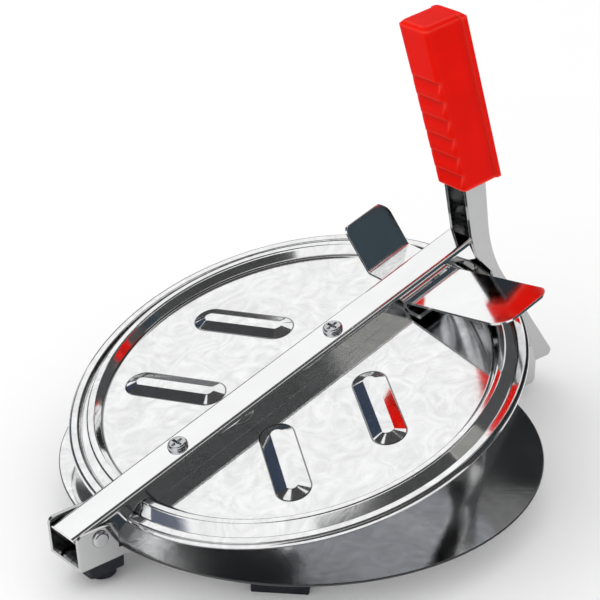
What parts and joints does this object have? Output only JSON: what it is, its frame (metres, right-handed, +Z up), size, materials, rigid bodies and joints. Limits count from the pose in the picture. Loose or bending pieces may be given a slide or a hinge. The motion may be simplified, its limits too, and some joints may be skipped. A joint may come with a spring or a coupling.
{
  "type": "puri press",
  "caption": "Hinged puri press: a ribbed upper plate under a channel arm folds onto a round lower plate on padded legs, and a leaning lever with a red grip presses the arm down.",
  "frame": {"origin": "on the table under the press, midway between the arm's heel and the lever's tail, on the centre line", "axes": "+X from the hinge towards the lever, +Y to the left when looking along +X, +Z up"},
  "size_m": [0.2504, 0.19, 0.18],
  "materials": {
    "polished_steel": "mirror polished stainless steel",
    "plain_steel": "plain bright steel",
    "red_plastic": "glossy moulded plastic",
    "black_rubber": "matt rubber"
  },
  "bodies": {
    "base": {"lower_plate": "polished_steel", "base_bar": "polished_steel", "leg_lever_left": "plain_steel", "leg_hinge_left": "plain_steel", "leg_hinge_right": "plain_steel", "leg_lever_right": "plain_steel", "pad_lever_left": "black_rubber", "pad_hinge_left": "black_rubber", "pad_hinge_right": "black_rubber", "pad_lever_right": "black_rubber", "hinge_foot": "black_rubber", "hinge_pin": "plain_steel", "lever_pin": "plain_steel", "lever_washers": "plain_steel"},
    "arm": {"arm_channel": "polished_steel", "upper_plate": "polished_steel", "pressing_disc": "polished_steel", "plate_bosses": "plain_steel", "arm_screws": "plain_steel", "lift_tab_left": "polished_steel", "lift_tab_right": "polished_steel", "hinge_bush": "plain_steel"},
    "lever": {"lever_channel": "polished_steel", "lever_grip": "red_plastic", "lever_bush": "plain_steel"}
  },
  "joints": [
    {"name": "arm_hinge", "type": "hinge", "parent": "base", "child": "arm", "pos_m": [-0.11524, 0, 0.022], "axis": [0, -1, 0], "range_deg": [-16.6, 63.4]},
    {"name": "lever_pivot", "type": "hinge", "parent": "base", "child": "lever", "pos_m": [0.10036, 0, 0.0175], "axis": [0, 1, 0], "range_deg": [0, 30]}
  ]
}
